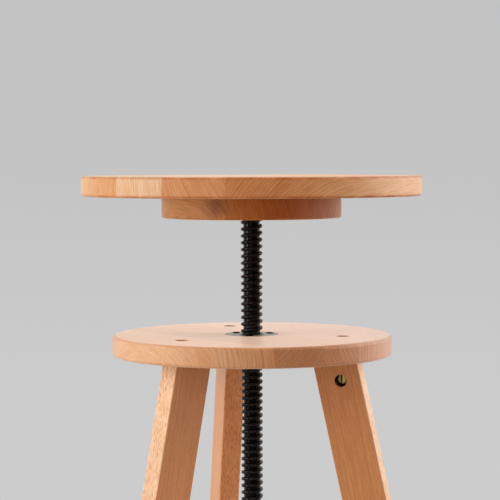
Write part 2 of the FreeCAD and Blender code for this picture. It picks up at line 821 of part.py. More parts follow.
def make_leg_bolt(side, azimuth):
    """A socket-head bolt that stands in the base disc and draws the barrel nut up, and its washer."""
    bolt = turned_body(
        f"leg_bolt_{side}",
        [
            ("0", "-leg_bolt_length"),
            ("leg_bolt_diameter / 2 - leg_bolt_tip_bevel", "-leg_bolt_length"),
            ("leg_bolt_diameter / 2", "leg_bolt_tip_bevel - leg_bolt_length"),
            ("leg_bolt_diameter / 2", "0"),
            ("leg_bolt_head / 2", "0"),
            ("leg_bolt_head / 2", "leg_bolt_head_height"),
            ("0", "leg_bolt_head_height"),
        ],
    )
    socket = new_sketch(bolt, f"bolt_socket_{side}", offset="leg_bolt_head_height")
    add_outline(socket, hexagon("leg_bolt_socket"))
    pocket(bolt, socket, "leg_bolt_socket_depth")
    ease(bolt, "Chamfer", circle_edges(bolt, "leg_bolt_head", "leg_bolt_head_height"), "leg_bolt_head_bevel")
    place(bolt, *round_the_axis(BOLT_RADIUS, azimuth), BOLT_SEAT, azimuth)

    washer = turned_body(
        f"leg_washer_{side}",
        [
            ("(leg_bolt_diameter + bolt_clearance) / 2", "0"),
            ("leg_washer_diameter / 2", "0"),
            ("leg_washer_diameter / 2", "leg_washer_thickness"),
            ("(leg_bolt_diameter + bolt_clearance) / 2", "leg_washer_thickness"),
        ],
    )
    place(washer, *round_the_axis(BOLT_RADIUS, azimuth), f"{BOLT_SEAT} - leg_washer_thickness", azimuth)
    return [bolt, washer]


def make_dowel(side, azimuth):
    """A wooden dowel that keeps a leg from twisting round its bolt."""
    body = turned_body(
        f"locating_dowel_{side}",
        [
            ("0", "-dowel_depth_in_leg"),
            ("dowel_diameter / 2 - dowel_bevel", "-dowel_depth_in_leg"),
            ("dowel_diameter / 2", "dowel_bevel - dowel_depth_in_leg"),
            ("dowel_diameter / 2", "dowel_depth_in_base - dowel_bevel"),
            ("dowel_diameter / 2 - dowel_bevel", "dowel_depth_in_base"),
            ("0", "dowel_depth_in_base"),
        ],
    )
    place(body, *round_the_axis(DOWEL_RADIUS, azimuth), BASE_UNDERSIDE, azimuth)
    return body


def make_glide(side, azimuth):
    """A foot glide with a sunk hole, and the nail that holds it under the leg."""
    hole_radius = "(nail_diameter + snug_clearance) / 2"
    recess_radius = "(nail_head / 2 + seat_clearance)"
    glide = turned_body(
        f"foot_glide_{side}",
        [
            (hole_radius, "glide_height"),
            ("glide_diameter / 2", "glide_height"),
            ("glide_diameter / 2", "0"),
            (recess_radius, "0"),
            (recess_radius, NAIL_SEAT),
            (hole_radius, NAIL_SEAT),
        ],
    )
    ease(glide, "Fillet", circle_edges(glide, "glide_diameter", "0"), "glide_round")
    place(glide, *round_the_axis(FOOT_RADIUS, azimuth), turn=azimuth)

    nail = turned_body(
        f"glide_nail_{side}",
        [
            ("0", "-nail_head_height"),
            ("nail_head / 2", "-nail_head_height"),
            ("nail_head / 2", "0"),
            ("nail_diameter / 2", "0"),
            ("nail_diameter / 2", "nail_length - nail_diameter"),
            ("0", "nail_length"),
        ],
    )
    place(nail, *round_the_axis(FOOT_RADIUS, azimuth), NAIL_SEAT, azimuth)
    return [glide, nail]


# ---------------------------------------------------------------- the whole stool

def make_stool():
    """Every sub-part of the stool, each in its place."""
    nodes = [
        make_seat(),
        make_backing_disc(),
        make_backing_screws(),
        make_screw_plate(),
        make_plate_screws(),
        make_lift_screw(),
        *make_stop(),
        make_base_disc(),
        make_flange_nut(),
        make_flange_screws(),
    ]
    for number, side in enumerate(LEGS):
        azimuth = f"(first_leg_azimuth + 360 / {len(LEGS)} * {number})"
        nodes.append(make_leg(side, azimuth))
        nodes.append(make_barrel_nut(side, azimuth))
        nodes += make_leg_bolt(side, azimuth)
        nodes.append(make_dowel(side, azimuth))
        nodes += make_glide(side, azimuth)
    return nodes


def check(nodes):
    """Stop if anything in the document failed, or if a sub-part has no sound shape."""
    doc.recompute()
    for thing in doc.Objects:
        if "Invalid" in thing.State or "Error" in thing.State:
            raise RuntimeError(f"{thing.Name} failed: {thing.State}")
    for node in nodes:
        shape = node.Shape
        if shape.isNull() or not shape.isValid() or not shape.Solids:
            raise RuntimeError(f"{node.Label} has no sound shape")


stool = make_stool()
check(stool)
os.makedirs("parts", exist_ok=True)
for node in stool:
    node.Shape.exportStep(f"parts/{node.Label}.step")
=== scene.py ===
import math

import bpy
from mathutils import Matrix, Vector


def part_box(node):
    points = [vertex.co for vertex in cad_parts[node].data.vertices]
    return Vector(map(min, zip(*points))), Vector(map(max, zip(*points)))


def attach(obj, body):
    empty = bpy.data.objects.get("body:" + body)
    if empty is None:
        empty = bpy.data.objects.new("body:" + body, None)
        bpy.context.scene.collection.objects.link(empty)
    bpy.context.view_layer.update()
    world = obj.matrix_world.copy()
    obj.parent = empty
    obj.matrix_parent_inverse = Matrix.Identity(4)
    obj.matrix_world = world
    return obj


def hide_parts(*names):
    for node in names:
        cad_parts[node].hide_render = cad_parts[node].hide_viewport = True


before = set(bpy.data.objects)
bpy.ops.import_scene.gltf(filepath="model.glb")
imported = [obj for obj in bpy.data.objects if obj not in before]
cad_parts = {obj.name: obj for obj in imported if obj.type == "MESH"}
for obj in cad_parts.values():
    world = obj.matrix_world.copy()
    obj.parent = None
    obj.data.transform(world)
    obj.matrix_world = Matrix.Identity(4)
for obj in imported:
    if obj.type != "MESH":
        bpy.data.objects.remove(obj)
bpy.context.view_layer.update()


# ---------------------------------------------------------------- camera
# A long lens just above the level of the seat, tipped down a little. It stands a little left of the
# stool's front, so the left leg comes forward and the back leg shows beside the lift screw.
AXIS_TO_CAMERA = 1.8588
CAMERA_ABOVE_BASE = 0.1741
CAMERA_SIDESTEP = -0.00133
CAMERA_TURN = math.radians(-14)
CAMERA_DIP = 0.0482
CAMERA_ROLL = 0.0027
LENS_MILLIMETRES = 133.6
FILM_MILLIMETRES = 36
SEEN_UP_TO = 60
BASE_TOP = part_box("base_disc")[1].z


def around(angle, distance, height):
    """The point at an angle and a distance round the stool's axis, and at a height."""
    return Vector((distance * math.cos(angle), distance * math.sin(angle), height))


camera_lens = bpy.data.cameras.new("long_lens")
camera_lens.sensor_width = FILM_MILLIMETRES
camera_lens.lens = LENS_MILLIMETRES
camera_lens.clip_end = SEEN_UP_TO
camera = bpy.data.objects.new("camera", camera_lens)
bpy.context.scene.collection.objects.link(camera)
bpy.context.scene.camera = camera
camera_stand = around(CAMERA_TURN - math.pi / 2, AXIS_TO_CAMERA, BASE_TOP + CAMERA_ABOVE_BASE)
camera.location = camera_stand + around(CAMERA_TURN, CAMERA_SIDESTEP, 0)
camera.rotation_euler = (math.pi / 2 - CAMERA_DIP, CAMERA_ROLL, CAMERA_TURN)


# ---------------------------------------------------------------- studio
# A pale round floor melts into a plain grey backdrop. Broad pale walls at the two sides give most
# of the light, and three soft lamps the rest, while the side of the camera stays dim. Shiny things
# show a pale far side and one narrow bright strip instead of the walls.
FLOOR_RADIUS = 1.6
FLOOR_FADES_FROM = 0.55
FLOOR_GONE_AT = 1.2
FLOOR_PAPER = (0.62, 0.65, 0.69, 1)
# the backdrop's grey above and below, and the slopes of view between which it changes
BACKDROP_ABOVE = 0.545
BACKDROP_BELOW = 0.605
GREY_CHANGES_FROM = 0.04
GREY_CHANGES_TO = -0.16
DIM_AIR = 0.04
DIM_AIR_COLOUR = (1, 0.85, 0.72, 1)
WALLS = (
    # bearing from the camera's side, slope up, where its light starts and is full, strength, colour
    (-82, 0.30, 0.38, 0.95, 1.78, (1, 0.92, 0.83, 1)),
    (108, 0.30, 0.55, 0.95, 2.42, (1, 0.93, 0.85, 1)),
    (-10, 0.20, 0.10, 0.90, 0.10, (1, 0.80, 0.62, 1)),
)
FAR_SIDE = (180, 0, -0.2, 0.9, 1.0, (1, 0.97, 0.94, 1))
FAR_SIDE_LEAST = 0.05
BRIGHT_STRIP = (-62, 0.10, 0.978, 0.993, 6.0, (0.90, 0.95, 1, 1))
LAMP_DISTANCE = 2.0
LAMP_HEIGHT = 1.08
LAMP_AIM = Vector((0, 0, 0.45))
LAMPS = (
    # name, bearing from the camera's side, size, watts, colour
    ("left_softbox", -75, (1.5, 1.2), 8, (1.0, 0.985, 0.965)),
    ("front_softbox", -15, (1.2, 1.2), 7, (1.0, 0.84, 0.69)),
    ("right_softbox", 104, (1.6, 1.2), 11, (1.0, 0.985, 0.965)),
)


def feed(tree, node, inputs):
    """Give a shader node its inputs, which are plain values or the outputs that feed them."""
    for socket, value in inputs.items():
        if isinstance(value, bpy.types.NodeSocket):
            tree.links.new(value, node.inputs[socket])
        else:
            node.inputs[socket].default_value = value


def add_node(tree, kind, inputs=None, **settings):
    """A new shader node with its inputs and settings."""
    made = tree.nodes.new(f"ShaderNode{kind}")
    for setting, value in settings.items():
        setattr(made, setting, value)
    feed(tree, made, inputs or {})
    return made


def reckon_vector(tree, operation, *values):
    """The result of a sum between vectors, which for a length or a dot product is a number."""
    result = "Value" if operation in ("LENGTH", "DOT_PRODUCT") else "Vector"
    return add_node(tree, "VectorMath", dict(enumerate(values)), operation=operation).outputs[result]


def spread(tree, value, low, high, start, end):
    """A value that goes smoothly from start to end while another goes from low to high."""
    inputs = {"Value": value, 1: low, 2: high, 3: start, 4: end}
    return add_node(tree, "MapRange", inputs, interpolation_type="SMOOTHSTEP").outputs[0]


def from_camera_side(bearing):
    """The angle round the stool of a bearing in degrees, counted from the camera's side."""
    return math.radians(bearing - 90) + CAMERA_TURN


def glow(strength, colour=(1, 1, 1, 1)):
    """Air that glows at a given strength."""
    return add_node(air, "Background", {0: colour, 1: strength}).outputs[0]


def wall(bearing, slope, start, full, strength, colour, least=0):
    """Air that glows on one side."""
    towards = around(from_camera_side(bearing), 1, slope).normalized()
    facing = reckon_vector(air, "DOT_PRODUCT", direction, towards)
    return glow(spread(air, facing, start, full, least, strength), colour)


def both(first, second):
    """Two glows together."""
    return add_node(air, "AddShader", {0: first, 1: second}).outputs[0]


def deselect_all():
    """Nothing selected."""
    bpy.ops.object.select_all(action="DESELECT")


world = bpy.data.worlds.new("studio_air")
bpy.context.scene.world = world
world.use_nodes = True
air = world.node_tree
air.nodes.clear()
direction = add_node(air, "TexCoord").outputs["Generated"]
rising = add_node(air, "SeparateXYZ", {0: direction}).outputs[2]
grey = spread(air, rising, GREY_CHANGES_FROM, GREY_CHANGES_TO, BACKDROP_ABOVE, BACKDROP_BELOW)
backdrop = glow(grey)
shine = both(wall(*FAR_SIDE, least=FAR_SIDE_LEAST), wall(*BRIGHT_STRIP))
light = glow(DIM_AIR, DIM_AIR_COLOUR)
for numbers in WALLS:
    light = both(light, wall(*numbers))
rays = add_node(air, "LightPath")
bounced = add_node(air, "MixShader", {0: rays.outputs["Is Glossy Ray"], 1: light, 2: shine})
shown = {0: rays.outputs["Is Camera Ray"], 1: bounced.outputs[0], 2: backdrop}
add_node(air, "OutputWorld", {0: add_node(air, "MixShader", shown).outputs[0]})

deselect_all()
bpy.ops.mesh.primitive_circle_add(vertices=96, radius=FLOOR_RADIUS, fill_type="NGON")
floor = bpy.context.object
floor.name = "studio_floor"
floor_paper = bpy.data.materials.new("floor_paper")
floor_paper.use_nodes = True
paper = floor_paper.node_tree
paper.nodes.clear()
from_middle = reckon_vector(paper, "LENGTH", add_node(paper, "TexCoord").outputs["Object"])
melted = {
    0: spread(paper, from_middle, FLOOR_FADES_FROM, FLOOR_GONE_AT, 0, 1),
    1: add_node(paper, "BsdfDiffuse", {"Color": FLOOR_PAPER}).outputs[0],
    2: add_node(paper, "BsdfTransparent").outputs[0],
}
add_node(paper, "OutputMaterial", {0: add_node(paper, "MixShader", melted).outputs[0]})
floor.data.materials.append(floor_paper)

for name, bearing, size, watts, colour in LAMPS:
    lamp = bpy.data.lights.new(name, "AREA")
    lamp.shape = "RECTANGLE"
    lamp.size, lamp.size_y = size
    lamp.energy = watts
    lamp.color = colour
    stand = bpy.data.objects.new(name, lamp)
    bpy.context.scene.collection.objects.link(stand)
    stand.location = around(from_camera_side(bearing), LAMP_DISTANCE, LAMP_HEIGHT)
    stand.rotation_euler = (LAMP_AIM - stand.location).to_track_quat("-Z", "Y").to_euler()
bpy.context.scene.view_settings.view_transform = "Standard"


# ---------------------------------------------------------------- seat
# The seat is a disc glued up from beech staves, sanded round and lacquered satin. Each stave is
# cut from another part of its log, so its growth rings have their own centre. The lacquer is rubbed
# thin along both rims.
SEAT_GRAIN = math.radians(-125)
SEAT_PALE = (0.90, 0.57, 0.32)
SEAT_DEEP = (0.72, 0.37, 0.15)
SEAT_STAVES = (
    # start across, ring centre across and up and ring width, tint, how much its ends darken
    (-0.2000, (-0.330, 0.020, 0.0017), (1.05, 1.17, 1.16), 1.0),
    # the second stave is tinted much paler and its ends hardly darken: a painted highlight for the left
    # softbox's reflection on the rim
    (-0.0787, (-0.300, -0.020, 0.0014), (1.04, 1.26, 1.62), 0.1),
    (-0.0243, (0.090, 0.038, 0.0016), (1.10, 1.21, 1.36), 0.9),
    (0.0382, (0.165, -0.080, 0.0022), (1.03, 1.01, 0.98), 1.0),
)
GLUE_LINE = 0.0003
END_GRAIN = (0.79, 0.54, 0.34, 1)
STAVE_SHIFT = (0.71, 0.0, 0.23)
RUB_STARTS = 0.0035
RUB_FULL = 0.00105
# how far the growth rings wander and ripple, and how fast, per metre along, across and up the board
RING_WANDER = 0.005
WANDER_RATES = (1.5, 9.0, 9.0)
RING_RIPPLE = 0.0010
RIPPLE_RATES = (18.0, 120.0, 120.0)
# how much of a year, and how many whole years, one stave's rings are out of step with the next one's
OUT_OF_STEP = 0.37
YEARS_APART = 40.0
# how uneven the years are in width, and in the darkness of their late wood
UNEVEN_YEARS = 1.5
LATE_WOOD_LEAST = 0.5
LATE_WOOD_VARIES = 0.75
# darkness through one year, from the early wood to the late wood and over its edge
YEAR = ((0.0, 0.16), (0.12, 0.0), (0.55, 0.22), (0.82, 0.78), (0.92, 1.0), (1.0, 0.28))
# rays per metre along the board, round the ring centre and out from it
RAYS_ALONG = 150.0
RAYS_ROUND = 900.0
RAYS_OUT = 420.0
# fibres, streaks and broad patches, as so many per metre
FIBRES = 900.0
STREAKS = 480.0
PATCHES = 55.0
# what the deep colour is multiplied by in late wood, fibres, flecks and glue, and how much shows
DARKER = (0.72, 0.50, 0.34)
RINGS_ON_FACES = 0.28
RINGS_ON_ENDS_MORE = 0.62
GLUE_SHOWS = 0.3


def reckon(tree, operation, *values):
    """The result of a sum between numbers and outputs."""
    return add_node(tree, "Math", dict(enumerate(values)), operation=operation).outputs[0]


def blend(tree, share, first, second, how="MIX"):
    """Two colours blended by a share."""
    made = add_node(tree, "Mix", {0: share, 6: first, 7: second}, data_type="RGBA", blend_type=how)
    return made.outputs[2]


def split(tree, vector):
    """The three parts of a vector."""
    return add_node(tree, "SeparateXYZ", {0: vector}).outputs


def join(tree, *parts):
    """A vector of three parts."""
    return add_node(tree, "CombineXYZ", dict(enumerate(parts))).outputs[0]


def times(tree, vector, factors):
    """A vector with each of its parts multiplied."""
    return reckon_vector(tree, "MULTIPLY", vector, factors)


def cloud(tree, vector, scale, detail=2.0, roughness=0.5, output="Fac"):
    """Soft noise about one half."""
    inputs = {"Vector": vector, "Scale": scale, "Detail": detail, "Roughness": roughness}
    return add_node(tree, "TexNoise", inputs).outputs[output]


def sway(tree, value, noise, most):
    """A value moved to and fro by noise about one half."""
    return reckon(tree, "MULTIPLY_ADD", reckon(tree, "SUBTRACT", noise, 0.5), most, value)


def off_axis(tree, place):
    """How far a place is from the upright axis through the origin."""
    return reckon_vector(tree, "LENGTH", times(tree, place, (1, 1, 0)))


def new_finish(name):
    """A new material, its nodes, its shader, and the outputs that say where a place is and faces."""
    finish = bpy.data.materials.new(name)
    finish.use_nodes = True
    tree = finish.node_tree
    return finish, tree, tree.nodes["Principled BSDF"], add_node(tree, "TexCoord").outputs


def roughen(tree, shader, strength, distance, height):
    """Fine relief under a finish."""
    relief = add_node(tree, "Bump", {"Strength": strength, "Distance": distance, "Height": height})
    feed(tree, shader, {"Normal": relief.outputs[0]})


def turn_to_grain(tree, vector, turn, dip):
    """A place or a direction, given along, across and up the board."""
    inputs = {"Vector": vector, "Angle": -turn}
    level = add_node(tree, "VectorRotate", inputs, rotation_type="Z_AXIS").outputs[0]
    inputs = {"Vector": level, "Angle": dip}
    return add_node(tree, "VectorRotate", inputs, rotation_type="Y_AXIS").outputs[0]


def step(tree, past, value, old, new):
    """A vector that changes from old to new past a seam."""
    change = tuple(after - before for before, after in zip(old, new))
    return reckon_vector(tree, "MULTIPLY_ADD", join(tree, past, past, past), change, value)


def glue_up(tree, across, staves):
    """What holds at a place across the grain, and the dark glue lines between the staves.

    It gives the ring centre and ring width, the tint, how much the ends darken and the stave's number.
    """
    _, rings, tint, thirst = staves[0]
    tint = join(tree, *tint)
    number = glue = 0.0
    for before, (start, new_rings, new_tint, new_thirst) in zip(staves, staves[1:]):
        _, old_rings, old_tint, old_thirst = before
        past = reckon(tree, "GREATER_THAN", across, start)
        rings = step(tree, past, rings, old_rings, new_rings)
        tint = step(tree, past, tint, old_tint, new_tint)
        thirst = reckon(tree, "MULTIPLY_ADD", past, new_thirst - old_thirst, thirst)
        number = reckon(tree, "ADD", number, past)
        off_seam = reckon(tree, "ABSOLUTE", reckon(tree, "SUBTRACT", across, start))
        glue = reckon(tree, "MAXIMUM", glue, reckon(tree, "LESS_THAN", off_seam, GLUE_LINE / 2))
    return split(tree, rings), tint, thirst, number, glue


def growth_rings(tree, board, along, across, up, ring, number, rings_from, drift):
    """Where a place lies in the growth rings of its log.

    It gives the darkness of the late wood there, the distances out from the ring centre and round it,
    and the way out. The ring centre is as given at rings_from, and past it sinks by drift per metre.
    """
    wander = cloud(tree, times(tree, board, WANDER_RATES), 1.0, output="Color")
    wander_across, wander_up, _ = split(tree, wander)
    out_across = sway(tree, reckon(tree, "SUBTRACT", across, ring[0]), wander_across, RING_WANDER)
    past = reckon(tree, "SUBTRACT", along, rings_from)
    out_up = reckon(tree, "MULTIPLY_ADD", past, drift, reckon(tree, "SUBTRACT", up, ring[1]))
    out_up = sway(tree, out_up, wander_up, RING_WANDER)
    way_out = join(tree, 0, out_across, out_up)
    out = reckon_vector(tree, "LENGTH", way_out)
    round_it = reckon(tree, "MULTIPLY", reckon(tree, "ARCTAN2", out_up, out_across), out)
    rippled = sway(tree, out, cloud(tree, times(tree, board, RIPPLE_RATES), 1.0, 1.0), RING_RIPPLE)
    years = reckon(tree, "DIVIDE", rippled, ring[2])
    years = reckon(tree, "MULTIPLY_ADD", number, OUT_OF_STEP, years)
    inputs = {"W": years, "Scale": 0.4, "Detail": 1.0}
    uneven = add_node(tree, "TexNoise", inputs, noise_dimensions="1D").outputs[0]
    years = reckon(tree, "MULTIPLY_ADD", uneven, UNEVEN_YEARS, years)
    late = add_node(tree, "ValToRGB", {0: reckon(tree, "FRACT", years)})
    stops = late.color_ramp.elements
    for stop, (_, level) in zip(stops, (YEAR[0], YEAR[-1])):
        stop.color = (level, level, level, 1)
    for place, level in YEAR[1:-1]:
        stops.new(place).color = (level, level, level, 1)
    year = reckon(tree, "MULTIPLY_ADD", number, YEARS_APART, reckon(tree, "FLOOR", years))
    vigour = add_node(tree, "TexWhiteNoise", {"W": year}, noise_dimensions="1D").outputs["Value"]
    darkness = reckon(tree, "MULTIPLY_ADD", vigour, LATE_WOOD_VARIES, LATE_WOOD_LEAST)
    rings = reckon(tree, "MULTIPLY", late.outputs[0], darkness)
    return rings, out, round_it, reckon_vector(tree, "NORMALIZE", way_out)


def ray_flecks(tree, along, out, round_it, flat_sawn, plain_flecks):
    """The rays, which show as short dark flecks on flat-sawn sides, and by plain_flecks on the others."""
    cells = times(tree, join(tree, along, round_it, out), (RAYS_ALONG, RAYS_ROUND, RAYS_OUT))
    ray = add_node(tree, "TexVoronoi", {"Vector": cells, "Scale": 1.0})
    fleck = spread(tree, ray.outputs["Distance"], 0.48, 0.26, 0.0, 1.0)
    chosen = add_node(tree, "SeparateColor", {0: ray.outputs["Color"]}).outputs[0]
    fleck = reckon(tree, "MULTIPLY", fleck, reckon(tree, "GREATER_THAN", chosen, 0.15))
    shown = reckon(tree, "MAXIMUM", reckon(tree, "POWER", flat_sawn, 4.0), plain_flecks)
    return reckon(tree, "MULTIPLY", fleck, shown)


def satin_lacquer(tree, shader, fibres, rings, fleck, end_grain, lacquer, sheen):
    """Satin lacquer, duller over end grain, which drinks it, with the grain just to be felt."""
    dull = reckon(tree, "MULTIPLY_ADD", end_grain, 0.14, 0.34)
    feed(tree, shader, {
        "Roughness": reckon(tree, "MULTIPLY_ADD", fibres, 0.14, dull),
        "Specular IOR Level": 0.35,
        "Coat Weight": lacquer,
        "Coat Roughness": 0.58,
        "Sheen Weight": sheen,
        "Sheen Roughness": 0.5,
        "Sheen Tint": (1.0, 0.90, 0.86, 1),
    })
    relief = reckon(tree, "MULTIPLY_ADD", rings, -0.4, reckon(tree, "MULTIPLY_ADD", fleck, -0.4, fibres))
    roughen(tree, shader, 0.25, 0.00015, relief)


def beech(name, grain_turn, staves, pale, deep, centre, grain_dip=0.0, rings_from=0.0, drift=0.04,
          flecks=0.3, plain_flecks=0.0, lacquer=0.5, sheen=0.22, painted_side_shade=(1, 1, 1), worn=None):
    """Lacquered beech, from pale to deep, with its grain along X turned about Z and dipped.

    Each stave is (where it starts across the grain, its ring centre across and up and ring width, its
    tint, how much its ends darken). Flecks are as dark as flecks says. Quarter-sawn sides are multiplied
    by quarter, a painted shade that darkens the legs' wide faces, and worn is (where the wood is
    darkened by wear, dirt or painted shade, what it is multiplied by there).
    """
    wood, tree, shader, place = new_finish(name)
    from_centre = reckon_vector(tree, "SUBTRACT", place["Object"], centre)
    grain = turn_to_grain(tree, from_centre, grain_turn, grain_dip)
    along, across, up = split(tree, grain)
    ring, tint, thirst, number, glue = glue_up(tree, across, staves)
    board = reckon_vector(tree, "MULTIPLY_ADD", join(tree, number, number, number), STAVE_SHIFT, grain)
    rings, out, round_it, way_out = growth_rings(
        tree, board, along, across, up, ring, number, rings_from, drift)
    facing = turn_to_grain(tree, place["Normal"], grain_turn, grain_dip)
    end_grain = reckon(tree, "POWER", split(tree, facing)[0], 2.0)
    flat_sawn = reckon_vector(tree, "DOT_PRODUCT", facing, way_out)
    fibres = cloud(tree, times(tree, board, (0.03, 1.0, 1.0)), FIBRES, 3.0, 0.7)
    fleck = ray_flecks(tree, along, out, round_it, flat_sawn, plain_flecks)

    # pale and deep streaks, which follow the rings, then what darkens them, down to the glue lines
    dark = tuple(part * keep for part, keep in zip(deep, DARKER))
    in_log = times(tree, join(tree, along, out, round_it), (0.10, 1.0, 0.14))
    streaks = cloud(tree, in_log, STREAKS, 3.0, 0.6)
    patches = cloud(tree, times(tree, board, (0.06, 1.0, 1.0)), PATCHES, 1.0)
    tone = reckon(tree, "MULTIPLY_ADD", streaks, 2.0, reckon(tree, "MULTIPLY_ADD", patches, 0.9, -0.95))
    colour = blend(tree, tone, (*pale, 1), (*deep, 1))
    shows = reckon(tree, "MULTIPLY_ADD", end_grain, RINGS_ON_ENDS_MORE, RINGS_ON_FACES)
    colour = blend(tree, reckon(tree, "MULTIPLY", rings, shows), colour, (*dark, 1))
    colour = blend(tree, reckon(tree, "MULTIPLY_ADD", fibres, -0.9, 0.56), colour, (*dark, 1))
    colour = blend(tree, reckon(tree, "MULTIPLY", fleck, flecks), colour, (*dark, 1))
    colour = blend(tree, reckon(tree, "MULTIPLY", end_grain, thirst), colour, END_GRAIN, "MULTIPLY")
    quarter_sawn = reckon(tree, "SUBTRACT", 1.0, reckon(tree, "POWER", flat_sawn, 2.0))
    colour = blend(tree, quarter_sawn, colour, (*painted_side_shade, 1), "MULTIPLY")
    colour = blend(tree, reckon(tree, "MULTIPLY", glue, GLUE_SHOWS), colour, (*dark, 1))
    if worn:
        where, stain = worn
        colour = blend(tree, where(tree, from_centre, board), colour, (*stain, 1), "MULTIPLY")
    feed(tree, shader, {"Base Color": blend(tree, 1.0, colour, tint, "MULTIPLY")})
    satin_lacquer(tree, shader, fibres, rings, fleck, end_grain, lacquer, sheen)
    return wood


def lay_finish(node, finish):
    """Give a CAD node its finish."""
    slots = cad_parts[node].data.materials
    slots.clear()
    slots.append(finish)


def disc_sizes(node):
    """The middle of a disc, its radius and half its thickness."""
    low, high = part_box(node)
    return (low + high) / 2, (high.x - low.x) / 2, (high.z - low.z) / 2


def rubbed_rims(radius, half_thickness, most):
    """Where a disc's two rims are rubbed, unevenly and at most by a share."""
    def where(tree, from_centre, board):
        out = off_axis(tree, from_centre)
        up = reckon(tree, "ABSOLUTE", split(tree, from_centre)[2])
        by_side = spread(tree, out, radius - RUB_STARTS, radius - RUB_FULL, 0.0, 1.0)
        by_face = spread(tree, up, half_thickness - RUB_STARTS, half_thickness - RUB_FULL, 0.0, 1.0)
        uneven = spread(tree, cloud(tree, board, 60.0), 0.3, 0.7, 0.4 * most, most)
        return reckon(tree, "MULTIPLY", reckon(tree, "MULTIPLY", by_side, by_face), uneven)
    return where


seat_middle, seat_radius, seat_half_thickness = disc_sizes("seat_top")
lay_finish("seat_top", beech(
    "seat_beech_wood", SEAT_GRAIN, SEAT_STAVES, SEAT_PALE, SEAT_DEEP, seat_middle,
    rings_from=seat_radius, lacquer=0.4, sheen=0.06,
    worn=(rubbed_rims(seat_radius, seat_half_thickness, 0.95), SEAT_DEEP)))


# ---------------------------------------------------------------- backing disc
# A smaller disc of two staves under the seat, which hides the plate of the lift screw. The wood has
# a brown patch beside its seam. Four countersunk zinc screws hold the disc to the seat.
BACKING_GRAIN = math.radians(-69)
# the backing's wood is darker and more saturated than the seat's, partly its own colour and partly painted
# shade under the seat
BACKING_PALE = (0.76, 0.33, 0.075)
BACKING_DEEP = (0.58, 0.20, 0.028)
BACKING_STAVES = (
    (-0.100, (-0.093, -0.013, 0.0030), (1.00, 1.10, 1.28), 1.0),
    (-0.070, (0.146, 0.048, 0.0019), (0.90, 0.90, 0.70), 1.0),
)
BROWN = (0.46, 0.39, 0.32)
BROWN_BEARING = math.radians(-127)
BROWN_RISE = 0.003
BROWN_REACH = 0.026
BROWN_CORE = 0.009
BROWN_RAGGED = 0.014
BROWN_MOST = 0.75


def browned(spot, rims):
    """A ragged brown patch round a spot, besides the rubbed rims."""
    def where(tree, from_centre, board):
        off = reckon_vector(tree, "LENGTH", reckon_vector(tree, "SUBTRACT", from_centre, spot))
        off = reckon(tree, "MULTIPLY_ADD", cloud(tree, board, 160.0, 3.0, 0.6), BROWN_RAGGED, off)
        patch = spread(tree, off, BROWN_REACH, BROWN_CORE, 0.0, BROWN_MOST)
        return reckon(tree, "MAXIMUM", patch, rims(tree, from_centre, board))
    return where


backing_middle, backing_radius, backing_half_thickness = disc_sizes("backing_disc")
backing_wear = browned(
    around(BROWN_BEARING, backing_radius, BROWN_RISE),
    rubbed_rims(backing_radius, backing_half_thickness, 0.25))
lay_finish("backing_disc", beech(
    "backing_beech_wood", BACKING_GRAIN, BACKING_STAVES, BACKING_PALE, BACKING_DEEP, backing_middle,
    rings_from=backing_radius, lacquer=0.35, sheen=0.04, worn=(backing_wear, BROWN)))


# ---------------------------------------------------------------- base disc
# The base disc is glued up like the seat, with its grain turned the other way, and is paler. It
# carries the flange nut and the legs.
BASE_GRAIN = math.radians(-65)
BASE_PALE = (0.93, 0.70, 0.53)
BASE_DEEP = (0.80, 0.51, 0.32)
BASE_STAVES = (
    (-0.2000, (-0.191, -0.028, 0.0016), (0.90, 0.74, 0.56), 1.0),
    (-0.1148, (-0.270, -0.018, 0.0031), (0.88, 0.78, 0.64), 1.0),
    (-0.0700, (-0.130, 0.060, 0.0023), (0.72, 0.61, 0.46), 1.0),
    (-0.0253, (0.044, 0.0245, 0.0030), (0.77, 0.62, 0.46), 1.0),
    (0.0195, (-0.150, 0.005, 0.0034), (0.86, 0.79, 0.78), 1.0),
    (0.0643, (-0.120, -0.015, 0.0034), (0.84, 0.78, 0.81), 1.0),
)
base_middle, base_radius, base_half_thickness = disc_sizes("base_disc")
lay_finish("base_disc", beech(
    "base_beech_wood", BASE_GRAIN, BASE_STAVES, BASE_PALE, BASE_DEEP, base_middle,
    rings_from=base_radius, sheen=0.46,
    worn=(rubbed_rims(base_radius, base_half_thickness, 0.35), BASE_DEEP)))


# ---------------------------------------------------------------- legs
# Three boards of beech on edge, which lean outwards with the grain along their length. A hole bored
# across each holds its barrel nut, and the hole's wall is darkened, partly as oil and dust and partly
# as painted shade inside the hole. Painted shade also darkens the boards' wide faces.
LEG_BEARINGS = {"right": math.radians(-30), "back": math.radians(90), "left": math.radians(210)}
LEG_LEAN = math.radians(12.4)
LEG_PALE = (0.95, 0.69, 0.49)
LEG_DEEP = (0.81, 0.51, 0.29)
LEG_RINGS = (0.010, -0.200, 0.0034)
LEG_TONES = {
    # the whole board's tint, and the painted shade that its wide faces, which are quarter-sawn, are
    # multiplied by
    "right": ((1.00, 1.00, 1.00), (0.75, 0.47, 0.25)),
    "back": ((0.79, 0.51, 0.29), (0.93, 0.92, 0.80)),
    "left": ((1.00, 1.00, 1.00), (0.71, 0.43, 0.21)),
}
HOLE_CLEARANCE = 0.0012
HOLE_SKIN = 0.0003
# what the hole's wall is multiplied by: oil and dust, and painted shade inside the hole
HOLE_DIRT_AND_SHADE = (0.16, 0.11, 0.07)


def off_line(tree, place, middle, along):
    """How far a place is from a line through a middle."""
    off = reckon_vector(tree, "SUBTRACT", place, middle)
    return reckon_vector(tree, "LENGTH", reckon_vector(tree, "CROSS_PRODUCT", off, along))


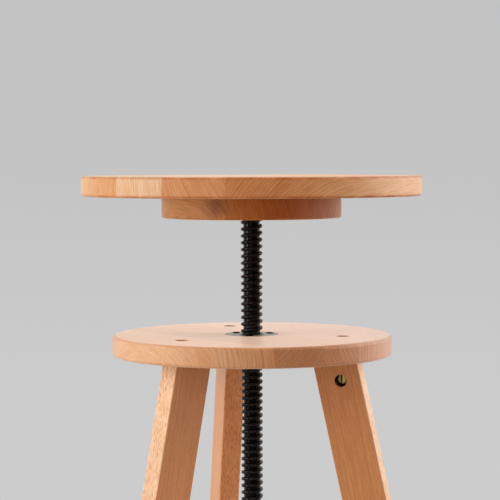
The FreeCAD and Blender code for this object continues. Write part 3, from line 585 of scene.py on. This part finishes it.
def hole_wall(middle, along, radius):
    """Where the wall of a bored hole is, and not the faces that it comes out of."""
    def where(tree, from_centre, board):
        near = reckon(tree, "LESS_THAN", off_line(tree, from_centre, middle, along), radius)
        facing = reckon_vector(tree, "DOT_PRODUCT", add_node(tree, "TexCoord").outputs["Normal"], along)
        wall_side = reckon(tree, "LESS_THAN", reckon(tree, "ABSOLUTE", facing), 0.5)
        return reckon(tree, "MULTIPLY", near, wall_side)
    return where


for side, bearing in LEG_BEARINGS.items():
    leg_low, leg_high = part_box(f"leg_{side}")
    leg_middle = (leg_low + leg_high) / 2
    nut_low, nut_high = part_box(f"barrel_nut_{side}")
    hole_radius = (nut_high.z - nut_low.z) / 2 + HOLE_CLEARANCE
    hole = hole_wall(
        (nut_low + nut_high) / 2 - leg_middle, around(bearing + math.pi / 2, 1, 0), hole_radius + HOLE_SKIN)
    tint, painted_side_shade = LEG_TONES[side]
    lay_finish(f"leg_{side}", beech(
        f"leg_beech_wood_{side}", bearing, ((-0.1, LEG_RINGS, tint, 1.0),), LEG_PALE, LEG_DEEP, leg_middle,
        grain_dip=LEG_LEAN - math.pi / 2, drift=0.02, flecks=0.85, plain_flecks=0.3,
        lacquer=0.4, sheen=0.06, painted_side_shade=painted_side_shade, worn=(hole, HOLE_DIRT_AND_SHADE)))


# ---------------------------------------------------------------- lift screw
# The lift screw is turned from steel bar with one coarse right-hand thread, then blackened and
# oiled. Its crests are rounded and rubbed, its top goes through the plate, and its lower end is
# tapped and holds the stop.
THREAD_PITCH = 0.0068
THREAD_CREST = 0.0110
THREAD_ROOT = 0.0084
THREAD_CREST_HALF = 0.00135
THREAD_BASE_HALF = 0.0021
THREAD_ROUNDING = 0.0010
THREAD_STEPS = 40
PLATE_SCREW_HEAD = 0.003
LOW_SPIGOT_LENGTH = 0.0056
BAR_RADIUS = 0.020
LOW_END_RADIUS = 0.0082
LOW_SPIGOT_RADIUS = 0.0070
TOP_SPIGOT_RADIUS = 0.0080
STOP_BORE_RADIUS = 0.0041
STOP_BORE_DEPTH = 0.0205
SCREW_BLACK = (0.0016, 0.0016, 0.0018)
BARE_STEEL = (0.09, 0.10, 0.11)
SCREW_LOW_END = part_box("lift_screw")[0].z
SCREW_TOP_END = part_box("lift_screw")[1].z
SCREW_SHOULDER = SCREW_LOW_END + LOW_SPIGOT_LENGTH
PLATE_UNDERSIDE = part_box("screw_plate_screws")[0].z + PLATE_SCREW_HEAD


def pick_faces(piece, wanted):
    """In edit mode, select only the faces whose middle and normal pass a test."""
    bpy.ops.object.mode_set(mode="EDIT")
    bpy.ops.mesh.select_mode(type="FACE")
    bpy.ops.mesh.select_all(action="DESELECT")
    bpy.ops.object.mode_set(mode="OBJECT")
    for face in piece.data.polygons:
        face.select = wanted(face.center, face.normal)
    bpy.ops.object.mode_set(mode="EDIT")


def extrude(across, up):
    """Pull the selection out by a distance across and up."""
    bpy.ops.mesh.extrude_region_move(TRANSFORM_OT_translate={"value": (across, 0, up)})


def shrink(factor, middle):
    """Shrink or widen the selection level about a point."""
    bpy.ops.transform.resize(value=(factor, factor, 1), center_override=middle)


def cut_with(piece, other, operation):
    """Cut a piece with another, which is then thrown away."""
    deselect_all()
    bpy.context.view_layer.objects.active = piece
    piece.select_set(True)
    bpy.ops.object.modifier_add(type="BOOLEAN")
    cut = piece.modifiers[-1]
    cut.object = other
    cut.operation = operation
    cut.solver = "EXACT"
    bpy.ops.object.modifier_apply(modifier=cut.name)
    bpy.data.objects.remove(other)


# the thread's outline over one pitch, swept up the screw from below its lower end to past its top
first_crest = BASE_TOP + THREAD_PITCH * math.floor((SCREW_LOW_END - BASE_TOP) / THREAD_PITCH - 1)
turns = math.ceil((SCREW_TOP_END - first_crest) / THREAD_PITCH) + 2
deselect_all()
bpy.ops.mesh.primitive_plane_add(size=0.001, location=(THREAD_ROOT, 0, first_crest - THREAD_PITCH / 2))
lift_screw = bpy.context.object
lift_screw.name = "lift_screw_rounded_thread"
bpy.ops.object.transform_apply()
bpy.ops.object.mode_set(mode="EDIT")
bpy.ops.mesh.merge(type="CENTER")
extrude(0, THREAD_PITCH / 2 - THREAD_BASE_HALF)
extrude(THREAD_CREST - THREAD_ROOT, THREAD_BASE_HALF - THREAD_CREST_HALF)
extrude(0, 2 * THREAD_CREST_HALF)
extrude(THREAD_ROOT - THREAD_CREST, THREAD_BASE_HALF - THREAD_CREST_HALF)
extrude(0, THREAD_PITCH / 2 - THREAD_BASE_HALF)
bpy.ops.object.mode_set(mode="OBJECT")
for corner in lift_screw.data.vertices:
    corner.select = corner.co.x > THREAD_CREST - 0.0001
bpy.ops.object.mode_set(mode="EDIT")
bpy.ops.mesh.select_mode(type="VERT")
bpy.ops.mesh.bevel(offset=THREAD_ROUNDING, segments=4, affect="VERTICES")
bpy.ops.object.mode_set(mode="OBJECT")
bpy.ops.object.modifier_add(type="SCREW")
sweep = lift_screw.modifiers[-1]
sweep.screw_offset = THREAD_PITCH
sweep.iterations = turns
sweep.steps = THREAD_STEPS
sweep.render_steps = THREAD_STEPS
bpy.ops.object.modifier_apply(modifier=sweep.name)
for level, above in ((first_crest + THREAD_PITCH, False), (SCREW_TOP_END + 0.002, True)):
    bpy.ops.object.mode_set(mode="EDIT")
    bpy.ops.mesh.select_all(action="SELECT")
    bpy.ops.mesh.remove_doubles(threshold=0.000002)
    bpy.ops.mesh.bisect(
        plane_co=(0, 0, level), plane_no=(0, 0, 1), use_fill=True, clear_inner=not above, clear_outer=above)
    bpy.ops.mesh.select_all(action="SELECT")
    bpy.ops.mesh.normals_make_consistent(inside=False)
    bpy.ops.object.mode_set(mode="OBJECT")

# the bar that the thread is cut into: a bevelled low end, a spigot at each end and the stop's bore
bevel_height = BAR_RADIUS - LOW_END_RADIUS
bar_height = PLATE_UNDERSIDE - SCREW_SHOULDER - bevel_height
deselect_all()
bpy.ops.mesh.primitive_cylinder_add(
    vertices=64, radius=BAR_RADIUS, depth=bar_height, location=(0, 0, PLATE_UNDERSIDE - bar_height / 2))
bar = bpy.context.object
bpy.ops.object.transform_apply()
pick_faces(bar, lambda middle, normal: normal.z < -0.9)
extrude(0, -bevel_height)
shrink(LOW_END_RADIUS / BAR_RADIUS, (0, 0, SCREW_SHOULDER))
bpy.ops.mesh.inset(thickness=LOW_END_RADIUS - LOW_SPIGOT_RADIUS)
extrude(0, SCREW_LOW_END - SCREW_SHOULDER)
bpy.ops.mesh.inset(thickness=LOW_SPIGOT_RADIUS - STOP_BORE_RADIUS)
extrude(0, STOP_BORE_DEPTH)
pick_faces(bar, lambda middle, normal: normal.z > 0.9 and middle.z > PLATE_UNDERSIDE - 0.001)
bpy.ops.mesh.inset(thickness=BAR_RADIUS - TOP_SPIGOT_RADIUS)
extrude(0, SCREW_TOP_END - PLATE_UNDERSIDE)
bpy.ops.object.mode_set(mode="OBJECT")
cut_with(lift_screw, bar, "INTERSECT")
bpy.ops.object.shade_smooth_by_angle(angle=math.radians(32))


def oiled_black(name, black, roughness=0.30, gloss=0.30, rubbed=None):
    """Blackened steel, near black, unevenly oiled and brownish in places.

    Where it is rubbed towards bare steel, rubbed is (how far it is rubbed, the bare colour).
    """
    steel, tree, shader, place = new_finish(name)
    blotches = cloud(tree, place["Object"], 90.0, 3.0, 0.6)
    specks = cloud(tree, place["Object"], 1400.0, 2.0, 0.6)
    warm = tuple(part * gain for part, gain in zip(black, (2.0, 1.5, 1.2)))
    colour = blend(tree, spread(tree, blotches, 0.45, 0.75, 0.0, 1.0), (*black, 1), (*warm, 1))
    if rubbed:
        how_far, bare = rubbed
        worn = spread(tree, specks, 0.42, 0.68, 0.0, 1.0)
        worn = reckon(tree, "MULTIPLY", how_far(tree, place["Object"]), worn)
        colour = blend(tree, worn, colour, (*bare, 1))
        feed(tree, shader, {"Metallic": reckon(tree, "MULTIPLY", worn, 0.6)})
    oil = reckon(tree, "MULTIPLY_ADD", specks, 0.10, roughness - 0.16)
    feed(tree, shader, {
        "Base Color": colour,
        "Roughness": reckon(tree, "MULTIPLY_ADD", blotches, 0.22, oil),
        "IOR": 1.30,
        "Specular IOR Level": gloss,
    })
    roughen(tree, shader, 0.3, 0.00008, specks)
    return steel


def rubbed_crests(tree, place):
    """How far the crests, which slide in the nut, are rubbed."""
    return spread(tree, off_axis(tree, place), THREAD_CREST - 0.0004, THREAD_CREST, 0.0, 0.12)


lift_screw.data.materials.clear()
lift_screw.data.materials.append(oiled_black(
    "lift_screw_black", SCREW_BLACK, roughness=0.20, gloss=0.70, rubbed=(rubbed_crests, BARE_STEEL)))
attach(lift_screw, "seat")
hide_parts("lift_screw")


# ---------------------------------------------------------------- plate of the lift screw
# The round plate is welded to the lift screw and blackened with it. Four pan-head screws of bright
# zinc, which the backing disc hides, hold it under the seat.
PLATE_BLACK = (0.006, 0.0055, 0.005)
BRIGHT_ZINC = (0.62, 0.63, 0.63)
BRIGHT_ZINC_STAIN = (0.42, 0.42, 0.40)
LATHE_FEED = 0.00045


def plated_steel(name, plating, stain, roughness=0.32, lathe=None):
    """Plated steel with stains and fine frost, and with lathe rings round an axis where it is turned."""
    steel, tree, shader, place = new_finish(name)
    stains = cloud(tree, place["Object"], 240.0, 3.0, 0.6)
    frost = cloud(tree, place["Object"], 2600.0, 2.0, 0.6)
    dull = reckon(tree, "MULTIPLY_ADD", frost, 0.12, roughness - 0.16)
    stained = spread(tree, stains, 0.35, 0.75, 0.0, 1.0)
    feed(tree, shader, {
        "Base Color": blend(tree, stained, (*plating, 1), (*stain, 1)),
        "Metallic": 0.85,
        "Roughness": reckon(tree, "MULTIPLY_ADD", stains, 0.20, dull),
    })
    relief = frost
    if lathe:
        rings = reckon(tree, "MULTIPLY", lathe(tree, place["Object"]), 2 * math.pi / LATHE_FEED)
        relief = reckon(tree, "MULTIPLY_ADD", reckon(tree, "SINE", rings), 0.35, frost)
    roughen(tree, shader, 0.3, 0.00005, relief)
    return steel


lay_finish("screw_plate", oiled_black("screw_plate_black", PLATE_BLACK, roughness=0.42))
bright_zinc = plated_steel("bright_zinc", BRIGHT_ZINC, BRIGHT_ZINC_STAIN)
lay_finish("screw_plate_screws", bright_zinc)


# ---------------------------------------------------------------- backing disc screws
# Four countersunk wood screws with a cross recess, bright zinc plated. They go up through the
# backing disc into the seat, and their heads lie flush below.
BACKING_SCREW_INSET = 0.020
DRIVEN_FURTHER = 0.7
# the height of the rim round a screw's head, and the share of its width that the top keeps
SCREW_RIM = 0.0002
RIM_NARROWS_TO = 0.97
# the length of a screw's point and the width of its tip, as shares of the shank's width
POINT_LENGTH = 1.2
POINT_NARROWS_TO = 0.08
# the wings of a cross recess, as shares of its width, and what their bottoms narrow to
WING_THICKNESS = 0.22
WING_HEIGHT = 0.5
WING_DEEPER = 0.15
WING_NARROWS_TO = 0.45


def countersunk_screw(name, head, shank, length, recess, dome=()):
    """A wood screw at the origin, its head up with its rim at the height 0, with a cross recess.

    A raised head has a dome of steps: how far each rises, and how much of the width it keeps.
    """
    cone = (head - shank) / 2
    point = POINT_LENGTH * shank
    shank_length = length - cone - point
    deselect_all()
    bpy.ops.mesh.primitive_cylinder_add(
        vertices=32, radius=shank / 2, depth=shank_length, location=(0, 0, -cone - shank_length / 2))
    screw = bpy.context.object
    screw.name = name
    bpy.ops.object.transform_apply()
    pick_faces(screw, lambda middle, normal: normal.z > 0.9)
    extrude(0, cone - SCREW_RIM)
    shrink(head / shank, (0, 0, 0))
    extrude(0, SCREW_RIM)
    shrink(RIM_NARROWS_TO, (0, 0, 0))
    for rise, kept in dome:
        extrude(0, rise)
        shrink(kept, (0, 0, 0))
    pick_faces(screw, lambda middle, normal: normal.z < -0.9)
    extrude(0, -point)
    shrink(POINT_NARROWS_TO, (0, 0, 0))
    bpy.ops.object.mode_set(mode="OBJECT")

    # the cross recess, whose two wings narrow towards the bottom
    for wing_turn in (0, math.pi / 2):
        deselect_all()
        bpy.ops.mesh.primitive_cube_add(
            size=1, scale=(recess, WING_THICKNESS * recess, WING_HEIGHT * recess),
            rotation=(0, 0, wing_turn))
        wing = bpy.context.object
        bpy.ops.object.transform_apply()
        pick_faces(wing, lambda middle, normal: normal.z < -0.9)
        shrink(WING_NARROWS_TO, (0, 0, 0))
        bpy.ops.transform.translate(value=(0, 0, -WING_DEEPER * recess))
        bpy.ops.object.mode_set(mode="OBJECT")
        cut_with(screw, wing, "DIFFERENCE")
    bpy.ops.object.shade_smooth_by_angle(angle=math.radians(35))
    return screw


def set_round(first, radius, start, count, height, turned_over):
    """Copies of a screw round the stool's axis, joined into one piece in place of the first."""
    copies = []
    for number in range(count):
        deselect_all()
        bpy.context.view_layer.objects.active = first
        first.select_set(True)
        bpy.ops.object.duplicate(linked=False)
        screw = bpy.context.object
        angle = start + 2 * math.pi * number / count
        screw.rotation_euler = (math.pi if turned_over else 0, 0, angle + DRIVEN_FURTHER * number)
        screw.location = around(angle, radius, height)
        bpy.ops.object.transform_apply()
        copies.append(screw)
    name = first.name
    bpy.data.objects.remove(first)
    deselect_all()
    for screw in copies:
        screw.select_set(True)
    bpy.context.view_layer.objects.active = copies[0]
    bpy.ops.object.join()
    joined = bpy.context.object
    joined.name = name
    return joined


backing_screws = set_round(
    countersunk_screw("backing_screws_cross_head", head=0.0086, shank=0.0045, length=0.034, recess=0.0046),
    radius=backing_radius - BACKING_SCREW_INSET, start=0.0, count=4,
    height=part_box("backing_disc")[0].z, turned_over=True)
backing_screws.data.materials.append(bright_zinc)
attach(backing_screws, "seat")
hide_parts("backing_disc_screws")


# ---------------------------------------------------------------- flange nut
# The flange nut is turned and tapped steel, zinc plated to a satin grey, and sits flush in the
# base disc. Painted shade darkens its rim, where it meets its recess, and round the thread. Three
# black screws with raised heads hold it.
SATIN_ZINC = (0.36, 0.39, 0.36)
SATIN_ZINC_STAIN = (0.24, 0.26, 0.24)
NUT_PAINTED_SHADE = (0.02, 0.019, 0.017)
# how far in from the rim, and out from the thread, the painted shade starts and is full, and its share
# there
RIM_SHADE = (0.0012, 0.0005)
THREAD_SHADE = (0.0022, 0.0006)
SHADE_SHARE = 0.9
FLANGE_SCREW_BLACK = (0.0020, 0.0019, 0.0018)
FLANGE_SCREW_INSET = 0.0067
FLANGE_SCREW_START = math.radians(9)
FLANGE_SCREW_DOME = ((0.00045, 0.88), (0.00035, 0.78), (0.00020, 0.60))


def add_painted_shade(finish, share, shade_colour):
    """Lay painted shade over a plated finish."""
    tree = finish.node_tree
    shader = tree.nodes["Principled BSDF"]
    unshaded_colour = shader.inputs["Base Color"].links[0].from_socket
    feed(tree, shader, {"Base Color": blend(tree, share, unshaded_colour, (*shade_colour, 1))})


flange_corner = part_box("flange_nut")[1]
nut_zinc = plated_steel("satin_zinc_nut", SATIN_ZINC, SATIN_ZINC_STAIN, 0.46, lathe=off_axis)
tree = nut_zinc.node_tree
out = off_axis(tree, add_node(tree, "TexCoord").outputs["Object"])
by_rim = spread(
    tree, out, flange_corner.x - RIM_SHADE[0], flange_corner.x - RIM_SHADE[1], 0.0, SHADE_SHARE)
by_thread = spread(
    tree, out, THREAD_CREST + THREAD_SHADE[0], THREAD_CREST + THREAD_SHADE[1], 0.0, SHADE_SHARE)
add_painted_shade(nut_zinc, reckon(tree, "MAXIMUM", by_rim, by_thread), NUT_PAINTED_SHADE)
lay_finish("flange_nut", nut_zinc)
flange_screws = set_round(
    countersunk_screw(
        "flange_screws_cross_head", head=0.0088, shank=0.0040, length=0.016, recess=0.0042,
        dome=FLANGE_SCREW_DOME),
    radius=flange_corner.y - FLANGE_SCREW_INSET, start=FLANGE_SCREW_START, count=3,
    height=flange_corner.z, turned_over=False)
flange_screws.data.materials.append(
    oiled_black("flange_screws_black", FLANGE_SCREW_BLACK, roughness=0.7, gloss=0.0))
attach(flange_screws, "base")
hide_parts("flange_nut_screws")


# ---------------------------------------------------------------- leg bolts, barrel nuts and dowels
# A black bolt in a counterbore pulls a yellow-passivated barrel nut in each leg up against the
# base disc, over a zinc washer, and a beech dowel keeps the leg from turning.
BOLT_BLACK = (0.008, 0.0075, 0.007)
YELLOW_ZINC = (0.78, 0.68, 0.22)
YELLOW_ZINC_STAIN = (0.42, 0.42, 0.16)
BARREL_PAINTED_SHADE = (0.012, 0.010, 0.006)
# the slots in the ends of the barrel nuts: how far out, how wide to each side, and how far their painted
# shade reaches
SLOT_CIRCLE = 0.0941
SLOT_HALF_WIDTH = 0.0005
SLOT_SHADE_REACH = 0.0011
# the lit part of a nut's end lies a little outwards and up, with painted shade round it
LIT_OUTWARDS = 0.0011
LIT_UP = 0.0008
LIT_RADIUS = 0.0041
SHADED_RADIUS = 0.0048
WASHER_ZINC = (0.58, 0.59, 0.58)
WASHER_ZINC_STAIN = (0.38, 0.38, 0.36)
DOWEL_PALE = (0.84, 0.55, 0.33)
DOWEL_DEEP = (0.66, 0.38, 0.19)
DOWEL_RINGS = (0.010, -0.012, 0.0018)


def yellow_passivated(name, middle, bearing):
    """Yellow-passivated zinc, olive in places, with painted shade in the slot and round the edge of the
    end, most at its lower side.
    """
    finish = plated_steel(name, YELLOW_ZINC, YELLOW_ZINC_STAIN, 0.42)
    tree = finish.node_tree
    place = add_node(tree, "TexCoord").outputs["Object"]
    off_slot = reckon(tree, "ABSOLUTE", reckon(tree, "SUBTRACT", off_axis(tree, place), SLOT_CIRCLE))
    in_slot = spread(tree, off_slot, SLOT_SHADE_REACH, SLOT_HALF_WIDTH, 0.0, 1.0)
    lit_spot = middle + around(bearing, LIT_OUTWARDS, LIT_UP)
    off = off_line(tree, place, lit_spot, around(bearing + math.pi / 2, 1, 0))
    at_edge = spread(tree, off, LIT_RADIUS, SHADED_RADIUS, 0.0, 1.0)
    shaded = reckon(tree, "MAXIMUM", in_slot, at_edge)
    add_painted_shade(finish, shaded, BARREL_PAINTED_SHADE)
    bare_metal = reckon(tree, "MULTIPLY_ADD", shaded, -0.85, 0.85)
    feed(tree, tree.nodes["Principled BSDF"], {"Metallic": bare_metal})
    return finish


bolt_black = oiled_black("leg_bolt_black", BOLT_BLACK)
washer_zinc = plated_steel("washer_zinc", WASHER_ZINC, WASHER_ZINC_STAIN)
for side, bearing in LEG_BEARINGS.items():
    lay_finish(f"leg_bolt_{side}", bolt_black)
    lay_finish(f"leg_washer_{side}", washer_zinc)
    nut_low, nut_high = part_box(f"barrel_nut_{side}")
    lay_finish(f"barrel_nut_{side}", yellow_passivated(
        f"yellow_zinc_{side}", (nut_low + nut_high) / 2, bearing))
    dowel_low, dowel_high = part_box(f"locating_dowel_{side}")
    lay_finish(f"locating_dowel_{side}", beech(
        f"dowel_beech_wood_{side}", bearing, ((-0.1, DOWEL_RINGS, (1, 1, 1), 1.0),),
        DOWEL_PALE, DOWEL_DEEP, (dowel_low + dowel_high) / 2, grain_dip=math.pi / 2, drift=0.0))


# ---------------------------------------------------------------- stop under the lift screw
# A loose rubber ring on the lower spigot meets the nut at the top of the travel. A zinc washer
# and a dome-head bolt hold it on.
RUBBER_BLACK = (0.018, 0.018, 0.018, 1)
RUBBER_BLOOM = (0.045, 0.044, 0.042, 1)
rubber, tree, shader, place = new_finish("buffer_rubber_matt")
bloom = cloud(tree, place["Object"], 160.0, 4.0, 0.65)
pores = cloud(tree, place["Object"], 2200.0, 2.0, 0.7)
feed(tree, shader, {
    "Base Color": blend(tree, spread(tree, bloom, 0.4, 0.75, 0.0, 1.0), RUBBER_BLACK, RUBBER_BLOOM),
    "Roughness": reckon(tree, "MULTIPLY_ADD", pores, 0.2, 0.62),
    "Specular IOR Level": 0.3,
})
roughen(tree, shader, 0.4, 0.0001, pores)
lay_finish("stop_buffer", rubber)
lay_finish("stop_washer", plated_steel(
    "stop_washer_zinc", WASHER_ZINC, WASHER_ZINC_STAIN, 0.34, lathe=off_axis))
lay_finish("stop_bolt", bright_zinc)


# ---------------------------------------------------------------- foot glides
# A moulded glide of brown nylon is nailed under each leg. Its underside is scuffed by the floor.
NYLON_BROWN = (0.085, 0.042, 0.020, 1)
NYLON_DARK = (0.060, 0.030, 0.015, 1)
NYLON_SCUFFED = (0.20, 0.14, 0.10, 1)
SCUFFS_REACH = 0.0012
nylon, tree, shader, place = new_finish("brown_nylon")
swirl = cloud(tree, place["Object"], 120.0, 3.0, 0.5)
scuffs = cloud(tree, times(tree, place["Object"], (1.0, 0.25, 1.0)), 1500.0, 3.0, 0.7)
near_floor = spread(tree, split(tree, place["Object"])[2], SCUFFS_REACH, 0.0, 0.0, 1.0)
scuffed = reckon(tree, "MULTIPLY", near_floor, spread(tree, scuffs, 0.4, 0.7, 0.0, 0.8))
feed(tree, shader, {
    "Base Color": blend(tree, scuffed, blend(tree, swirl, NYLON_BROWN, NYLON_DARK), NYLON_SCUFFED),
    "Roughness": reckon(tree, "MULTIPLY_ADD", scuffed, 0.3, 0.42),
})
roughen(tree, shader, 0.3, 0.0001, scuffs)
for side in LEG_BEARINGS:
    lay_finish(f"foot_glide_{side}", nylon)
    lay_finish(f"glide_nail_{side}", washer_zinc)
